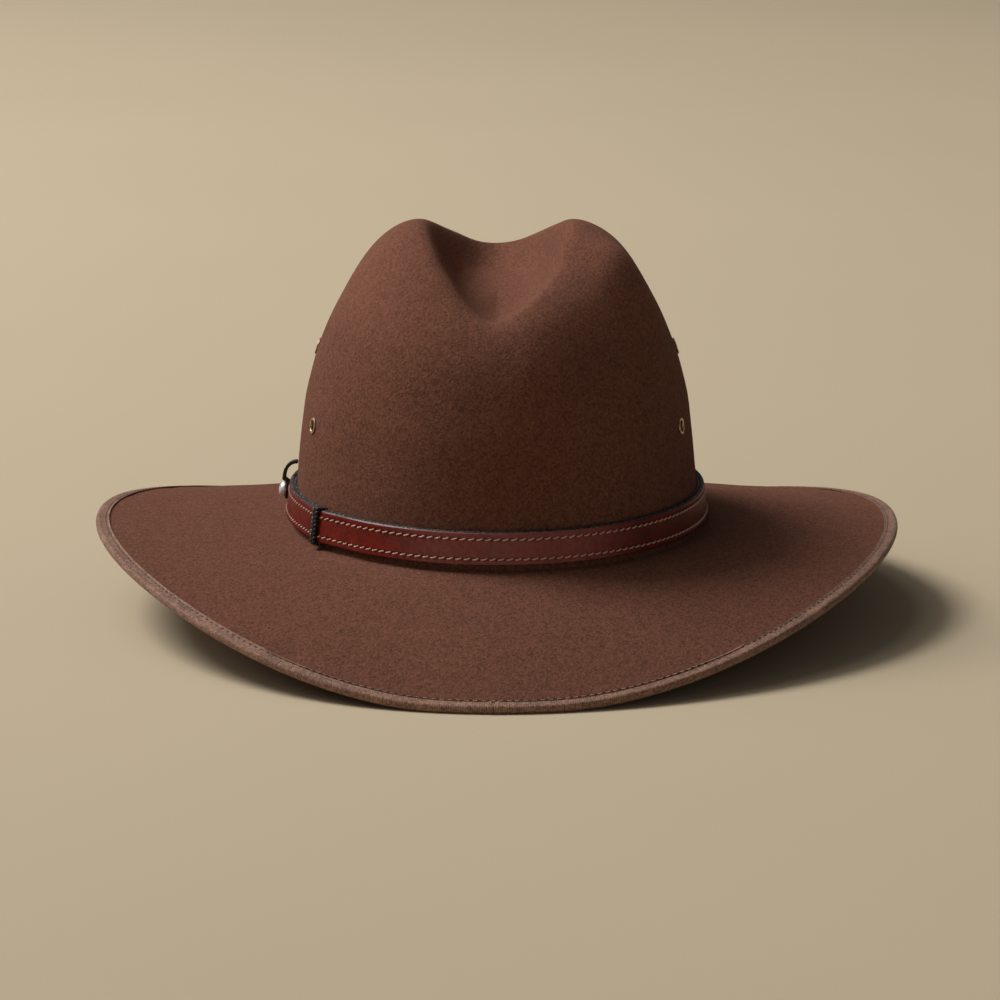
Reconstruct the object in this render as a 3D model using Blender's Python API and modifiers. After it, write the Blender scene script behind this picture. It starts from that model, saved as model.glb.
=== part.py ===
"""A fur-felt bush hat with a bound brim, a stitched leather band and eyelets.

Metres, +Z up. The hat rests on the plane z = 0, on the back and the front of its brim.
Its front faces +Y, and the wearer's left side faces -X.
Angles run round the hat from the wearer's right (+X) through the front (+Y).
"""
import math
from collections import namedtuple

import bmesh
import bpy
from mathutils import Matrix, Vector
from mathutils.bvhtree import BVHTree

# Felt
HEAD_WIDTH = 0.1660
HEAD_LENGTH = 0.2000
FELT = 0.0020
CROWN_HEIGHT = 0.1247
FOOT_HEIGHT = 0.0352
FOOT_FILLET = 0.0026
BRIM_SIDE = 0.0800
BRIM_END = 0.0865
LEFT_EDGE_HEIGHT = 0.0378
LEFT_LEAN = 0.06
RIGHT_EDGE_HEIGHT = 0.0360
RIGHT_LEAN = 0.0
BRIM_BOW = 0.35
EDGE_SWEEP = 1.70
BRIM_PINCH = 0.02
REST_SHARE = 0.12

# The crest's back right quarter: the share of its height that it keeps as a broad step, how
# gently that step begins at the back, and the round shoulder that fills it out
RIGHT_STEP = 0.50
STEP_START = 1.5
SHOULDER_SIDE = 0.0550
SHOULDER_BACK = 0.0335
SHOULDER_RADIUS = 0.0193
SHOULDER_RISE = 0.0110

# Binding folded over the brim's edge
BINDING_WIDTH = 0.0050
BINDING = 0.0009
BINDING_PRESS = 0.0006

# Leather band, its keeper, and the tab with its stud
BAND_HEIGHT = 0.0130
BAND = 0.0028
BAND_CHAMFER = 0.0005
KEEPER_WIDTH = 0.0040
KEEPER = 0.0016
KEEPER_BACK = 0.0009
KEEPER_ANGLE = math.radians(215.0)
TAB_WIDTH = 0.0032
TAB = 0.0014
TAB_RISE = 0.0058
TAB_BULGE = 0.0022
STUD_RADIUS = 0.00335
STUD_DOME = 0.0022
STUD_RIM = 0.0006
STUD_SHANK = 0.0010
STUD_ANGLE = math.radians(174.5)

# Ventilation eyelets
EYELET_FLANGE_RADIUS = 0.0035
EYELET_HOLE_RADIUS = 0.0022
EYELET_BARREL = 0.0006
EYELET_FLANGE = 0.0005

# Clearance between pieces, and the fineness of the faceted shapes
GAP = 0.0003
AROUND = 60
EYELET_SIDES = 10
STUD_SIDES = 16

FOOT_HALF_WIDTH = HEAD_WIDTH / 2 + FELT
FOOT_HALF_LENGTH = HEAD_LENGTH / 2 + FELT

# The crown's sections from its foot up to the ridge round the dent, and down into the dent.
# width and length are shares of the foot's half width and half length, and shift moves the
# section towards the front by a share of the half length. side, back and front are its
# heights there, as shares of the crown's height. spread says how soon the side's height is
# lost towards the ends, and slack how many times sooner the back right quarter loses it.
# rings is how many rings of faces lead to the next section.
Section = namedtuple("Section", "name width length shift side back front spread slack rings")
CROWN_SECTIONS = (
    Section("foot", 1.000, 1.000, 0.000, 0.021, 0.021, 0.021, 1.0, 1.0, 1),
    Section("band top", 0.980, 0.984, 0.000, 0.125, 0.125, 0.125, 1.0, 1.0, 1),
    Section("low wall", 0.968, 0.974, 0.000, 0.230, 0.228, 0.228, 1.0, 1.0, 1),
    Section("wall", 0.939, 0.950, 0.000, 0.392, 0.372, 0.372, 1.2, 1.6, 2),
    Section("high wall", 0.882, 0.905, 0.000, 0.558, 0.510, 0.515, 1.4, 2.2, 2),
    Section("shoulder", 0.783, 0.850, 0.000, 0.722, 0.622, 0.645, 1.6, 2.8, 2),
    Section("upper shoulder", 0.640, 0.775, 0.000, 0.887, 0.705, 0.765, 1.8, 3.9, 2),
    Section("brow", 0.505, 0.715, 0.000, 0.972, 0.742, 0.830, 1.9, 5.0, 2),
    Section("ridge", 0.385, 0.655, -0.020, 1.000, 0.752, 0.850, 1.9, 5.0, 2),
    Section("lip", 0.318, 0.620, -0.020, 0.970, 0.748, 0.844, 1.8, 5.0, 2),
    Section("dent wall", 0.258, 0.565, -0.020, 0.890, 0.739, 0.822, 1.6, 5.0, 2),
    Section("floor edge", 0.190, 0.450, -0.010, 0.812, 0.735, 0.795, 1.4, 5.0, 2),
    Section("floor", 0.115, 0.280, 0.000, 0.786, 0.748, 0.784, 1.2, 5.0, 1),
    Section("floor middle", 0.050, 0.120, 0.000, 0.778, 0.766, 0.778, 1.0, 5.0, 1),
    Section("middle", 0.000, 0.000, 0.000, 0.775, 0.775, 0.775, 1.0, 5.0, 0),
)

SECTION_NAMES = [section.name for section in CROWN_SECTIONS]
WALL_SECTIONS = SECTION_NAMES.index("upper shoulder")
SHOULDER_START = SECTION_NAMES.index("low wall")
SHOULDER_FULL = SECTION_NAMES.index("shoulder")

# The brim's rings, as shares of the way from the crown's foot to the brim's edge
BRIM_RINGS = (1.0, 0.94, 0.80, 0.62, 0.44, 0.26, 0.12)

# Eyelets: turn from the middle of each side towards the front, and height as a share of the
# crown's height
Eyelet = namedtuple("Eyelet", "name turn height")
EYELETS = (
    Eyelet("rear", math.radians(-21.0), 0.365),
    Eyelet("top", math.radians(3.0), 0.575),
    Eyelet("front", math.radians(21.0), 0.365),
)


def clear_scene():
    for old in list(bpy.data.objects):
        bpy.data.objects.remove(old, do_unlink=True)


def new_collection(name):
    collection = bpy.data.collections.new(name)
    bpy.context.scene.collection.children.link(collection)
    return collection


def material(name, color, roughness, metallic=0.0):
    made = bpy.data.materials.new(name)
    made.use_nodes = True
    shader = made.node_tree.nodes["Principled BSDF"]
    shader.inputs["Base Color"].default_value = (*color, 1.0)
    shader.inputs["Roughness"].default_value = roughness
    shader.inputs["Metallic"].default_value = metallic
    return made


def new_object(name, mesh, collection, finish=None):
    made = bpy.data.objects.new(name, mesh)
    collection.objects.link(made)
    if finish:
        mesh.materials.append(finish)
    return made


def mesh_from(name, build):
    """A mesh filled by build(bm), shaded smooth with its creases kept sharp."""
    mesh = bpy.data.meshes.new(name)
    bm = bmesh.new()
    build(bm)
    bmesh.ops.recalc_face_normals(bm, faces=bm.faces)
    bm.to_mesh(mesh)
    bm.free()
    mesh.shade_smooth()
    mesh.set_sharp_from_angle(angle=math.radians(40.0))
    return mesh


def angles(extra=()):
    """The stations round the hat, with any extra ones worked in."""
    even = [2.0 * math.pi * step / AROUND for step in range(AROUND)]
    near = math.pi / AROUND / 2.0
    kept = [angle for angle in even if all(abs(angle - other) > near for other in extra)]
    return sorted(kept + list(extra))


def between(values, position):
    """Catmull-Rom interpolation through a list of numbers."""
    step = min(int(position), len(values) - 2)
    part = position - step
    before = values[max(step - 1, 0)]
    start = values[step]
    end = values[step + 1]
    after = values[min(step + 2, len(values) - 1)]
    return start + 0.5 * part * (
        end - before
        + part * (2.0 * before - 5.0 * start + 4.0 * end - after
                  + part * (3.0 * (start - end) + after - before)))


def crown_point(position, angle):
    """A point of the crown's outer face, position counting along the sections."""
    width, length, shift, side, back, front, spread, slack = (
        between([section[column] for section in CROWN_SECTIONS], position)
        for column in range(1, 9))
    across, along = math.cos(angle), math.sin(angle)
    end = front if along > 0.0 else back
    kept = abs(across) ** spread
    if along < 0.0 < across:
        step = 1.0 - (1.0 - across ** STEP_START) ** 2
        kept = (1.0 - RIGHT_STEP) * across ** (spread * slack) + RIGHT_STEP * step
    place = Vector((
        width * FOOT_HALF_WIDTH * across,
        (length * along + shift) * FOOT_HALF_LENGTH,
        FOOT_HEIGHT + (end + (side - end) * kept) * CROWN_HEIGHT))
    middle = Vector((SHOULDER_SIDE, -SHOULDER_BACK))
    away = (place.xy - middle).length / SHOULDER_RADIUS
    grown = (position - SHOULDER_START) / (SHOULDER_FULL - SHOULDER_START)
    place.z += SHOULDER_RISE * math.exp(-away ** 2) * min(max(grown, 0.0), 1.0)
    return place


def crown_at_height(height, angle):
    """The point of the crown's wall at a height above the surface that the hat rests on."""
    low, high = 0.0, WALL_SECTIONS
    for _ in range(40):
        middle = (low + high) / 2.0
        if crown_point(middle, angle).z < height:
            low = middle
        else:
            high = middle
    return crown_point(low, angle)


def outward(angle):
    """The level direction that points straight out of the crown's oval."""
    return Vector((
        math.cos(angle) / FOOT_HALF_WIDTH, math.sin(angle) / FOOT_HALF_LENGTH, 0.0)).normalized()


def edge_height(angle):
    """Height of the felt's upper face at the brim's edge: flat where the hat rests."""
    nose = FELT / 2.0 + GAP + BINDING
    rest = nose + FELT / 2.0 - BINDING_PRESS
    side, lean = RIGHT_EDGE_HEIGHT, RIGHT_LEAN
    if math.cos(angle) < 0.0:
        side, lean = LEFT_EDGE_HEIGHT, LEFT_LEAN
    raised = max(0.0, (abs(math.cos(angle)) - REST_SHARE) / (1.0 - REST_SHARE))
    side *= 1.0 - lean * math.sin(angle)
    return rest + (side - rest) * raised ** EDGE_SWEEP


def brim_point(share, angle):
    fall = share * (1.0 - BRIM_BOW) + BRIM_BOW * share * share
    height = FOOT_HEIGHT + (edge_height(angle) - FOOT_HEIGHT) * fall
    drawn_in = 1.0 - BRIM_PINCH * share * share * math.sin(2.0 * angle) ** 2
    return Vector((
        (FOOT_HALF_WIDTH + share * BRIM_SIDE) * drawn_in * math.cos(angle),
        (FOOT_HALF_LENGTH + share * BRIM_END) * drawn_in * math.sin(angle),
        height))


def brim_frame(angle):
    """Edge point of the brim's upper face, its outward slope and its upward normal."""
    turn = math.pi / AROUND
    edge = brim_point(1.0, angle)
    slope = (edge - brim_point(BRIM_RINGS[1], angle)).normalized()
    along = (brim_point(1.0, angle + turn) - brim_point(1.0, angle - turn)).normalized()
    up = slope.cross(along).normalized()
    return edge, along.cross(up).normalized(), up


def loft(bm, sections, around_closed=True, section_closed=True):
    """Faces between sections that have the same number of points."""
    rows = [[bm.verts.new(point) for point in section] for section in sections]
    following = rows[1:] + (rows[:1] if around_closed else [])
    for row, after in zip(rows, following):
        count = len(row)
        for index in range(count if section_closed else count - 1):
            step = (index + 1) % count
            bm.faces.new((row[index], row[step], after[step], after[index]))
    return rows


def crown_positions():
    """Where the crown's rings lie along its sections."""
    found = []
    for index, section in enumerate(CROWN_SECTIONS[:-1]):
        found += [index + step / section.rings for step in range(section.rings)]
    return found


def build_felt(collection, cutters, finish):
    stations = angles()

    def build(bm):
        rings = [[brim_point(share, angle) for angle in stations] for share in BRIM_RINGS]
        fillet = [brim_point(0.0, angle) + outward(angle) * FOOT_FILLET for angle in stations]
        rings.append(fillet)
        for position in crown_positions():
            rings.append([crown_point(position, angle) for angle in stations])
        rows = loft(bm, rings, around_closed=False)
        middle = bm.verts.new(crown_point(len(CROWN_SECTIONS) - 1, 0.0))
        last = rows[-1]
        for index, vert in enumerate(last):
            bm.faces.new((vert, last[(index + 1) % len(last)], middle))

    mesh = mesh_from("felt_body", build)
    felt = new_object("felt_body", mesh, collection, finish)
    wall = felt.modifiers.new("Felt thickness", "SOLIDIFY")
    wall.thickness = FELT
    wall.offset = -1.0
    wall.use_even_offset = True

    surface = BVHTree.FromPolygons(
        [vert.co for vert in mesh.vertices], [face.vertices for face in mesh.polygons])
    seats = []
    for side, facing in (("right", 0.0), ("left", math.pi)):
        for eyelet in EYELETS:
            angle = facing + (eyelet.turn if side == "right" else -eyelet.turn)
            seat = eyelet_seat(surface, angle, eyelet.height)
            seats.append((f"eyelet_{side}_{eyelet.name}", seat))
    hole = bpy.data.meshes.new("eyelet_hole")
    bm = bmesh.new()
    radius = EYELET_HOLE_RADIUS + EYELET_BARREL + GAP
    bmesh.ops.create_cone(
        bm, cap_ends=True, segments=EYELET_SIDES, radius1=radius, radius2=radius, depth=FELT * 6.0)
    bm.to_mesh(hole)
    bm.free()
    for name, seat in seats:
        cut_with(felt, new_cutter(f"hole_{name}", hole, seat, cutters))
    return seats


def eyelet_seat(surface, angle, height):
    """The frame of an eyelet: the middle of its hole on the felt, with +Z out of the felt."""
    rough = crown_at_height(FOOT_HEIGHT + height * CROWN_HEIGHT, angle)
    place, _, _, _ = surface.find_nearest(rough)
    facing = Vector()
    reach = EYELET_FLANGE_RADIUS
    for step in range(EYELET_SIDES):
        turn = 2.0 * math.pi * step / EYELET_SIDES
        beside = Vector((-math.sin(angle), math.cos(angle), 0.0)) * math.cos(turn) * reach
        near = place + beside + Vector((0.0, 0.0, math.sin(turn) * reach))
        facing += surface.find_nearest(near)[1]
    facing.normalize()
    if facing.dot(outward(angle)) < 0.0:
        facing.negate()
    return Matrix.Translation(place) @ facing.to_track_quat("Z", "Y").to_matrix().to_4x4()


def new_cutter(name, mesh, place, cutters):
    cutter = new_object(name, mesh, cutters)
    cutter.matrix_world = place
    cutter.hide_render = True
    cutter.display_type = "WIRE"
    return cutter


def cut_with(target, cutter):
    cut = target.modifiers.new(cutter.name, "BOOLEAN")
    cut.operation = "DIFFERENCE"
    cut.solver = "EXACT"
    cut.object = cutter


def turned(name, profile, sides, collection, finish=None):
    """A profile of (radius, height) points, turned about Z."""
    mesh = bpy.data.meshes.new(name)
    bm = bmesh.new()
    verts = [bm.verts.new((radius, 0.0, height)) for radius, height in profile]
    closed = profile[0][0] > 0.0
    for index in range(len(verts) if closed else len(verts) - 1):
        bm.edges.new((verts[index], verts[(index + 1) % len(verts)]))
    bm.to_mesh(mesh)
    bm.free()
    made = new_object(name, mesh, collection, finish)
    spin = made.modifiers.new("Turned", "SCREW")
    spin.steps = sides
    spin.render_steps = sides
    spin.use_merge_vertices = True
    spin.merge_threshold = 0.00001
    spin.use_smooth_shade = True
    return made


def build_eyelets(collection, seats, finish):
    """A flanged ring, rolled over on both faces of the felt."""
    hole = EYELET_HOLE_RADIUS
    barrel = hole + EYELET_BARREL
    rim = EYELET_FLANGE_RADIUS
    outer = GAP
    outer_top = outer + EYELET_FLANGE
    inner = -FELT - GAP
    inner_end = inner - EYELET_FLANGE
    soft = EYELET_FLANGE / 2.0
    profile = [
        (hole, outer_top - soft), (hole + soft, outer_top), (rim - soft, outer_top),
        (rim, outer), (barrel, outer), (barrel, inner), (rim, inner),
        (rim - soft, inner_end), (hole + soft, inner_end), (hole, inner_end + soft)]
    for name, seat in seats:
        eyelet = turned(name, profile, EYELET_SIDES, collection, finish)
        eyelet.matrix_world = seat


def build_binding(collection, finish):
    """A ribbon folded over the edge: one closed section carried round the brim."""
    reach = FELT / 2.0 + GAP
    back = -GAP
    nose = [math.radians(turn) for turn in (90.0, 45.0, 0.0, -45.0, -90.0)]

    def build(bm):
        sections = []
        for angle in angles():
            edge, out, up = brim_frame(angle)
            centre = edge - up * (FELT / 2.0) + out * back
            leg = -(BINDING_WIDTH - reach - BINDING)
            profile = []
            for radius, turns in ((reach + BINDING, nose), (reach, nose[::-1])):
                arc = [(radius * math.cos(turn), radius * math.sin(turn)) for turn in turns]
                start, end = (leg, arc[0][1]), (leg, arc[-1][1])
                profile += [start] + arc + [end]
            section = [centre + out * along + up * above for along, above in profile]
            for point in section:
                point.z = max(point.z, 0.0)
            sections.append(section)
        loft(bm, sections)

    new_object("brim_binding", mesh_from("brim_binding", build), collection, finish)


def band_bow(angle):
    """How far the band stands off the crown to let the keeper pass behind it."""
    away = abs(angle - KEEPER_ANGLE) * FOOT_HALF_LENGTH
    room = KEEPER_BACK + 2.0 * GAP
    flat = KEEPER_WIDTH / 2.0 + GAP
    return room * max(0.0, min(1.0, 1.0 - (away - flat) / (KEEPER_WIDTH * 3.0)))


def band_point(angle, height, offset):
    """A point in the band's section: height above its foot, offset from the crown."""
    level = band_foot() + height
    return crown_at_height(level, angle) + outward(angle) * (offset + band_bow(angle))


def band_foot():
    return FOOT_HEIGHT + CROWN_SECTIONS[0].side * CROWN_HEIGHT + GAP


def build_band(collection, cutters, finish):
    soft = BAND_CHAMFER
    profile = [
        (0.0, GAP), (BAND_HEIGHT, GAP), (BAND_HEIGHT, GAP + BAND - soft),
        (BAND_HEIGHT - soft, GAP + BAND), (soft, GAP + BAND), (0.0, GAP + BAND - soft)]
    half = (KEEPER_WIDTH / 2.0 + GAP) / FOOT_HALF_LENGTH
    extra = [KEEPER_ANGLE + side * half * share for side in (-1.0, 1.0) for share in (1.0, 3.0)]

    def build(bm):
        loft(bm, [[band_point(angle, height, offset) for height, offset in profile]
                  for angle in angles(extra)])

    band = new_object("hat_band", mesh_from("hat_band", build), collection, finish)
    cut_with(band, shank_hole(cutters))


def stud_frame():
    """The frame of the stud: origin on the band's outer face, +Z straight out of it."""
    height = BAND_HEIGHT / 2.0
    face = band_point(STUD_ANGLE, height, GAP + BAND)
    above = band_point(STUD_ANGLE, height + BAND_CHAMFER, GAP + BAND)
    up = (above - face).normalized()
    out = outward(STUD_ANGLE)
    out = (out - up * out.dot(up)).normalized()
    side = up.cross(out).normalized()
    turn = Matrix((side, up, out)).transposed()
    return Matrix.Translation(face) @ turn.to_4x4()


def shank_hole(cutters):
    if "hole_shank" in bpy.data.objects:
        return bpy.data.objects["hole_shank"]
    mesh = bpy.data.meshes.new("hole_shank")
    bm = bmesh.new()
    radius = STUD_SHANK + GAP
    bmesh.ops.create_cone(
        bm, cap_ends=True, segments=EYELET_SIDES, radius1=radius, radius2=radius,
        depth=2.0 * (BAND / 2.0 + GAP * 2.0 + TAB))
    bm.to_mesh(mesh)
    bm.free()
    return new_cutter("hole_shank", mesh, stud_frame(), cutters)


def build_tab(collection, cutters, finish):
    """A narrow strap under the stud, arched over the band's top edge to the crown."""
    frame = stud_frame()
    flat = GAP + TAB / 2.0
    edge = BAND_HEIGHT / 2.0
    level = band_foot() + BAND_HEIGHT + TAB_RISE
    crown = frame.inverted() @ (
        crown_at_height(level, STUD_ANGLE) + outward(STUD_ANGLE) * (GAP + TAB / 2.0))
    crest = crown.y
    route = [
        (-STUD_RADIUS - GAP, flat), (STUD_RADIUS + GAP, flat),
        (STUD_RADIUS + TAB, flat + TAB_BULGE), (edge + GAP, flat + TAB_BULGE)]
    start_up, start_out = route[-1]
    for turn in (math.radians(step * 18.0) for step in range(1, 6)):
        route.append((
            start_up + (crest - start_up) * math.sin(turn),
            crown.z + (start_out - crown.z) * math.cos(turn)))
    half = TAB_WIDTH / 2.0

    def build(bm):
        rows = [[bm.verts.new((side, up, out)) for side in (-half, half)] for up, out in route]
        for row, after in zip(rows, rows[1:]):
            bm.faces.new((row[0], row[1], after[1], after[0]))

    tab = new_object("stud_tab", mesh_from("stud_tab", build), collection, finish)
    tab.matrix_world = frame
    wall = tab.modifiers.new("Leather thickness", "SOLIDIFY")
    wall.thickness = TAB
    wall.offset = 0.0
    wall.use_even_offset = True
    cut_with(tab, shank_hole(cutters))


def build_stud(collection, finish):
    """A domed cap on a shank that passes through the tab into the band."""
    seat = GAP + TAB + GAP
    dome = [
        (STUD_RADIUS * math.cos(turn), seat + STUD_RIM + STUD_DOME * math.sin(turn))
        for turn in (math.radians(step * 18.0) for step in range(5))]
    end = -BAND / 2.0
    profile = [(0.0, seat + STUD_RIM + STUD_DOME)] + dome[::-1] + [
        (STUD_RADIUS, seat), (STUD_SHANK, seat), (STUD_SHANK, end), (0.0, end)]
    stud = turned("stud", profile, STUD_SIDES, collection, finish)
    stud.matrix_world = stud_frame()


def build_keeper(collection, finish):
    """A loop round the band, behind it as well as over its face."""
    low, high = -GAP, BAND_HEIGHT + GAP
    near = GAP + BAND + GAP
    soft = KEEPER / 2.0
    outside = [
        (low - soft, -KEEPER_BACK), (high + soft, -KEEPER_BACK),
        (high + soft, near + KEEPER - soft), (high, near + KEEPER),
        (low, near + KEEPER), (low - soft, near + KEEPER - soft)]
    inside = [
        (low, 0.0), (high, 0.0), (high, near - soft), (high - soft, near),
        (low + soft, near), (low, near - soft)]
    half = KEEPER_WIDTH / 2.0
    out = outward(KEEPER_ANGLE)
    along = out.cross(Vector((0.0, 0.0, 1.0)))
    foot = band_point(KEEPER_ANGLE, 0.0, 0.0)
    rise = (band_point(KEEPER_ANGLE, BAND_HEIGHT, 0.0) - foot) / BAND_HEIGHT

    def build(bm):
        loft(bm, [
            [foot + rise * height + out * offset + along * shift for height, offset in profile]
            for profile, shift in (
                (outside, -half), (outside, half), (inside, half), (inside, -half))])

    new_object("band_keeper", mesh_from("band_keeper", build), collection, finish)


def main():
    clear_scene()
    hat = new_collection("bush_hat")
    cutters = new_collection("cutters")
    seats = build_felt(hat, cutters, material("brown_felt", (0.115, 0.055, 0.035), 0.95))
    build_binding(hat, material("brown_ribbon", (0.125, 0.065, 0.045), 0.75))
    build_band(hat, cutters, material("burgundy_leather", (0.085, 0.018, 0.014), 0.42))
    build_keeper(hat, material("black_leather", (0.010, 0.009, 0.009), 0.45))
    build_tab(hat, cutters, material("dark_leather", (0.022, 0.011, 0.006), 0.55))
    build_stud(hat, material("silver_metal", (0.62, 0.62, 0.64), 0.22, 1.0))
    build_eyelets(hat, seats, material("bronze_metal", (0.36, 0.22, 0.12), 0.38, 1.0))


main()
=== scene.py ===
# %% [markdown]
# # A bush hat
# This lesson dresses the plain solids of a brown felt bush hat. The plain model is the frame:
# it says where each piece is and how big it is, and it is never moved. Each visible piece is
# modelled again here, finer, in the place of its plain solid, and then gets its finish.

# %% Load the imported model
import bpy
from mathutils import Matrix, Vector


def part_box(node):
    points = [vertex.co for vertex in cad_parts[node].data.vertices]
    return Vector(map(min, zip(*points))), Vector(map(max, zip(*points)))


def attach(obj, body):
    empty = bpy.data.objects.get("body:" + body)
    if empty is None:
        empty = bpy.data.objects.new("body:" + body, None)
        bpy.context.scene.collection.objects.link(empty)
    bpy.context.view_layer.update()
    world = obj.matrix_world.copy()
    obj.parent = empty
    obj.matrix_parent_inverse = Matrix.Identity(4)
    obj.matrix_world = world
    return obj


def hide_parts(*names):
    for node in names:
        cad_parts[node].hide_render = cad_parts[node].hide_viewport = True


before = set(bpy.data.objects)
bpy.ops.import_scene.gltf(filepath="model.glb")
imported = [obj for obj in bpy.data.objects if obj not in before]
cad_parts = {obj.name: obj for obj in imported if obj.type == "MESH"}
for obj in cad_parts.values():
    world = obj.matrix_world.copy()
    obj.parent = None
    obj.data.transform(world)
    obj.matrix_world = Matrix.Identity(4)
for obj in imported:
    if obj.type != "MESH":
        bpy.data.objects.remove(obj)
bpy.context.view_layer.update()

import math

import bpy
import numpy as np
from mathutils import Matrix, Vector
from mathutils.kdtree import KDTree

print("solids:", sorted(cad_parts))

# %% [markdown]
# ## Helpers for working as by hand
# An operator acts on all that is selected, so each step first selects what it works on, and
# nothing else. Points and faces are picked by their place, because a script has no mouse.

# %% Select one object, and change to edit mode and back
MM = 0.001


def work_on(piece):
    """Makes one object the only selected one, and the active one."""
    bpy.ops.object.select_all(action="DESELECT")
    piece.select_set(True)
    bpy.context.view_layer.objects.active = piece
    return piece


def rows_of(parts, key):
    """One vector of every vertex or face, as rows of x, y and z."""
    flat = np.empty(len(parts) * 3)
    parts.foreach_get(key, flat)
    return flat.reshape(-1, 3)


def points_of(piece):
    return rows_of(piece.data.vertices, "co")


def move_points(piece, points):
    piece.data.vertices.foreach_set("co", np.asarray(points).ravel())
    piece.data.update()


def pick(piece, kind, chosen):
    """Selects the vertices, edges or faces whose flag is set in the list chosen."""
    work_on(piece)
    bpy.ops.object.mode_set(mode="EDIT")
    bpy.ops.mesh.select_mode(type=kind)
    bpy.ops.mesh.select_all(action="DESELECT")
    bpy.ops.object.mode_set(mode="OBJECT")
    mesh = piece.data
    parts = {"VERT": mesh.vertices, "EDGE": mesh.edges, "FACE": mesh.polygons}[kind]
    parts.foreach_set("select", np.asarray(chosen, dtype=bool))
    bpy.ops.object.mode_set(mode="EDIT")


def done():
    """Leaves edit mode."""
    bpy.ops.object.mode_set(mode="OBJECT")


def join(pieces):
    """Makes one mesh of several objects."""
    bpy.ops.object.select_all(action="DESELECT")
    for piece in pieces:
        piece.select_set(True)
    bpy.context.view_layer.objects.active = pieces[0]
    bpy.ops.object.convert(target="MESH")
    bpy.ops.object.join()
    return bpy.context.object


def finish_with(piece, kind, **settings):
    """Adds a modifier with its settings and applies it."""
    work_on(piece)
    added = piece.modifiers.new(kind.title(), kind)
    for key, value in settings.items():
        setattr(added, key, value)
    bpy.ops.object.modifier_apply(modifier=added.name)


# %% [markdown]
# ## Start from the plain solid
# The plain solids are loose triangles with few corners. A copy is merged and its triangles
# are joined into quads, which makes a neat cage for a smooth surface. The solid is left alone.

# %% Copy a solid's mesh
def copy_of(node, name):
    """A new object with the solid's mesh, merged and in quads."""
    piece = bpy.data.objects.new(name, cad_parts[node].data.copy())
    bpy.context.collection.objects.link(piece)
    piece.data.materials.clear()
    work_on(piece)
    bpy.ops.mesh.customdata_custom_splitnormals_clear()
    bpy.ops.object.mode_set(mode="EDIT")
    bpy.ops.mesh.select_all(action="SELECT")
    bpy.ops.mesh.remove_doubles(threshold=0.01 * MM)
    bpy.ops.mesh.tris_convert_to_quads(
        face_threshold=math.radians(60.0), shape_threshold=math.radians(70.0))
    done()
    print(name, "starts with", len(piece.data.polygons), "faces")
    return piece


# %% [markdown]
# Subdivision draws a surface inside its cage, so a ridge would sink a little. The cage is
# first swollen by what each corner would lose, and the smooth surface then runs through the
# corners of the plain solid.

# %% Smooth a cage without shrinking it
def smooth_through(piece, levels):
    """Subdivides the piece so that its surface passes through its old corners."""
    corners = points_of(piece)
    cage = corners.copy()
    surface = piece.modifiers.new("Smooth surface", "SUBSURF")
    surface.levels = surface.render_levels = 1
    for _ in range(3):
        shown = piece.evaluated_get(bpy.context.evaluated_depsgraph_get())
        cage += corners - points_of(shown)[:len(corners)]
        move_points(piece, cage)
    surface.levels = surface.render_levels = levels
    work_on(piece)
    bpy.ops.object.modifier_apply(modifier=surface.name)


# %% [markdown]
# ## Put a finished piece in place
# Each piece rides on the hat's one body and takes the place of its plain solid. The printed
# figure says how far its box is from the solid's box.

# %% Seat a piece
def seat(piece, nodes=(), angle=40.0):
    work_on(piece)
    bpy.ops.object.shade_smooth_by_angle(angle=math.radians(angle))
    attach(piece, "root")
    if nodes:
        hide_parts(*nodes)
        lows, highs = zip(*(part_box(node) for node in nodes))
        points = points_of(piece)
        low_gap = points.min(0) - np.min(lows, axis=0)
        high_gap = points.max(0) - np.max(highs, axis=0)
        print(piece.name, "off its solid's box, mm:", np.round(low_gap * 1000.0, 2),
              np.round(high_gap * 1000.0, 2))
    return piece


# %% [markdown]
# ## The eyelets' places
# Each eyelet is a short tube with a flange at both ends, clenched in a hole of the felt. Its
# middle and its axis are read from the plain solid: the axis is the direction in which the
# solid's points spread least.

# %% Find the middle and the axis of each eyelet
EYELET_NODES = sorted(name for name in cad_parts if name.startswith("eyelet"))


def eyelet_place(node):
    """The frame of an eyelet: its origin in the middle and +Z pointing out of the crown."""
    points = points_of(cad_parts[node])
    middle = (points.min(0) + points.max(0)) / 2.0
    _, directions = np.linalg.eigh(np.cov((points - points.mean(0)).T))
    axis = Vector(directions[:, 0])
    if axis.dot(Vector((middle[0], middle[1], 0.0))) < 0.0:
        axis.negate()
    turn = axis.to_track_quat("Z", "Y").to_matrix().to_4x4()
    return Matrix.Translation(Vector(middle)) @ turn


EYELET_PLACES = {node: eyelet_place(node) for node in EYELET_NODES}
for node, place in EYELET_PLACES.items():
    print(node, "faces", [round(v, 2) for v in place.col[2][:3]])

# %% [markdown]
# ## The felt
# Crown and brim are blocked from one cone of wool or fur felt, so they are one piece without
# a seam. The copy's round holes are closed before it is smoothed, because a small hole in a
# coarse cage puckers the surface, and they are cut again afterwards in the smooth felt.

# %% Close the eyelet holes in the copy
FELT_HOLE = 3.1 * MM
FELT_WALL = 2.0 * MM

felt = copy_of("felt_body", "felt_crown_and_brim")


def near_axis(points, place, radius, reach):
    """Which points lie within a cylinder about the place's axis."""
    local = (points - np.array(place.translation)) @ np.array(place.to_3x3())
    return (np.hypot(local[:, 0], local[:, 1]) < radius) & (np.abs(local[:, 2]) < reach)


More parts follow.
